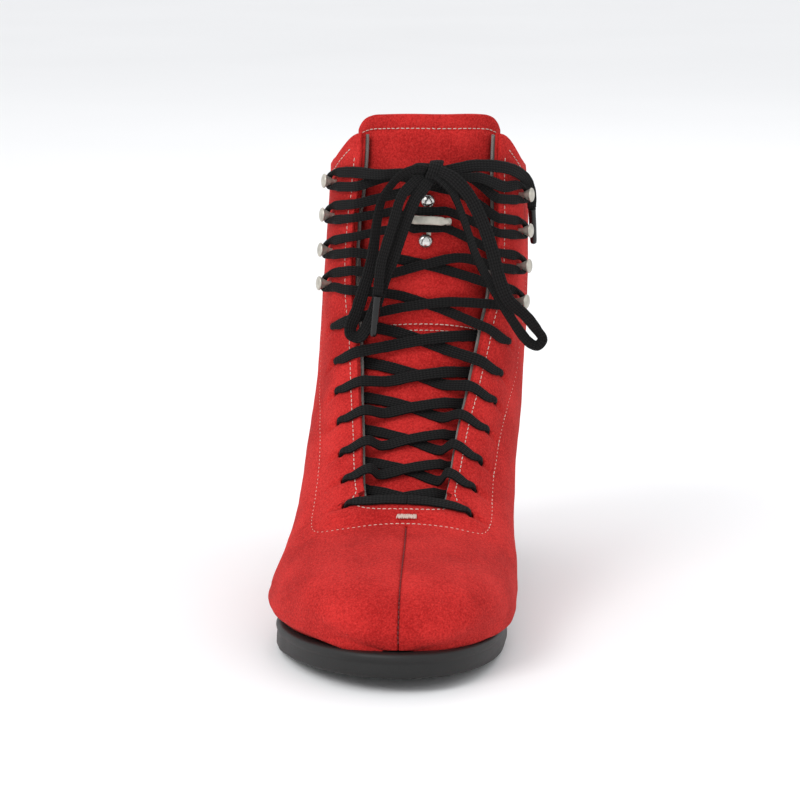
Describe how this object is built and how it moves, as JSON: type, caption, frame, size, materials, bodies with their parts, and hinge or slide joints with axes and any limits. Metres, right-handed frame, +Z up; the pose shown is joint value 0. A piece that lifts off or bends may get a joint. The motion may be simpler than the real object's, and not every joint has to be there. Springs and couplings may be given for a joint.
{
  "type": "lace-up high-top boot",
  "caption": "Left high-top lace-up boot in red suede with punched holes, lace hooks, padded tongue, tied black laces and a black sole with a raised heel.",
  "frame": {"origin": "centre of the boot's box on the ground, laces left out", "axes": "+Z up, +Y from toe to heel, +X towards the wearer's left, which is the lateral side of this left boot"},
  "size_m": [0.1138, 0.266, 0.216],
  "materials": {
    "suede": "brushed nap",
    "lining": "woven, matt",
    "footbed_fabric": "woven, matt",
    "board": "fibreboard",
    "foam": "open foam",
    "shank_steel": "mill",
    "sole_rubber": "semi-matt with a glossy rim",
    "heel_plastic": "painted edge",
    "nickel": "antique nickel",
    "lace": "flat woven",
    "aglet": "gloss"
  },
  "bodies": {
    "root": {"upper_medial": "suede", "upper_lateral": "suede", "lace_stay": "suede", "backstay": "suede", "tongue": "suede", "facing_backing_medial": "lining", "facing_backing_lateral": "lining", "vamp_lining": "lining", "quarter_lining_medial": "lining", "quarter_lining_lateral": "lining", "tongue_lining": "lining", "footbed": "footbed_fabric", "toe_puff": "board", "heel_counter": "board", "insole_board": "board", "collar_padding_medial": "foam", "collar_padding_lateral": "foam", "shank": "shank_steel", "outsole": "sole_rubber", "heel_top_lift": "sole_rubber", "heel_block": "heel_plastic", "lace_hook_medial_1": "nickel", "lace_hook_medial_2": "nickel", "lace_hook_medial_3": "nickel", "lace_hook_medial_4": "nickel", "lace_hook_lateral_1": "nickel", "lace_hook_lateral_2": "nickel", "lace_hook_lateral_3": "nickel", "lace_hook_lateral_4": "nickel", "lace_keeper": "nickel", "keeper_rivet_upper": "nickel", "keeper_rivet_lower": "nickel", "lace_run_medial": "lace", "lace_run_lateral": "lace", "lace_knot": "lace", "lace_tail_right": "lace", "aglet_right": "aglet"},
    "bow_left": {"bow_loop_left": "lace", "lace_tail_left": "lace", "aglet_left": "aglet"},
    "bow_right": {"bow_loop_right": "lace"}
  },
  "joints": [
    {"name": "bow_left_swing", "type": "hinge", "parent": "root", "child": "bow_left", "pos_m": [0.0089, 0.004, 0.192], "axis": [-1, 0, 0], "range_deg": [0, 65]},
    {"name": "bow_right_swing", "type": "hinge", "parent": "root", "child": "bow_right", "pos_m": [0.0089, 0.004, 0.192], "axis": [-1, 0, 0], "range_deg": [0, 65]}
  ]
}
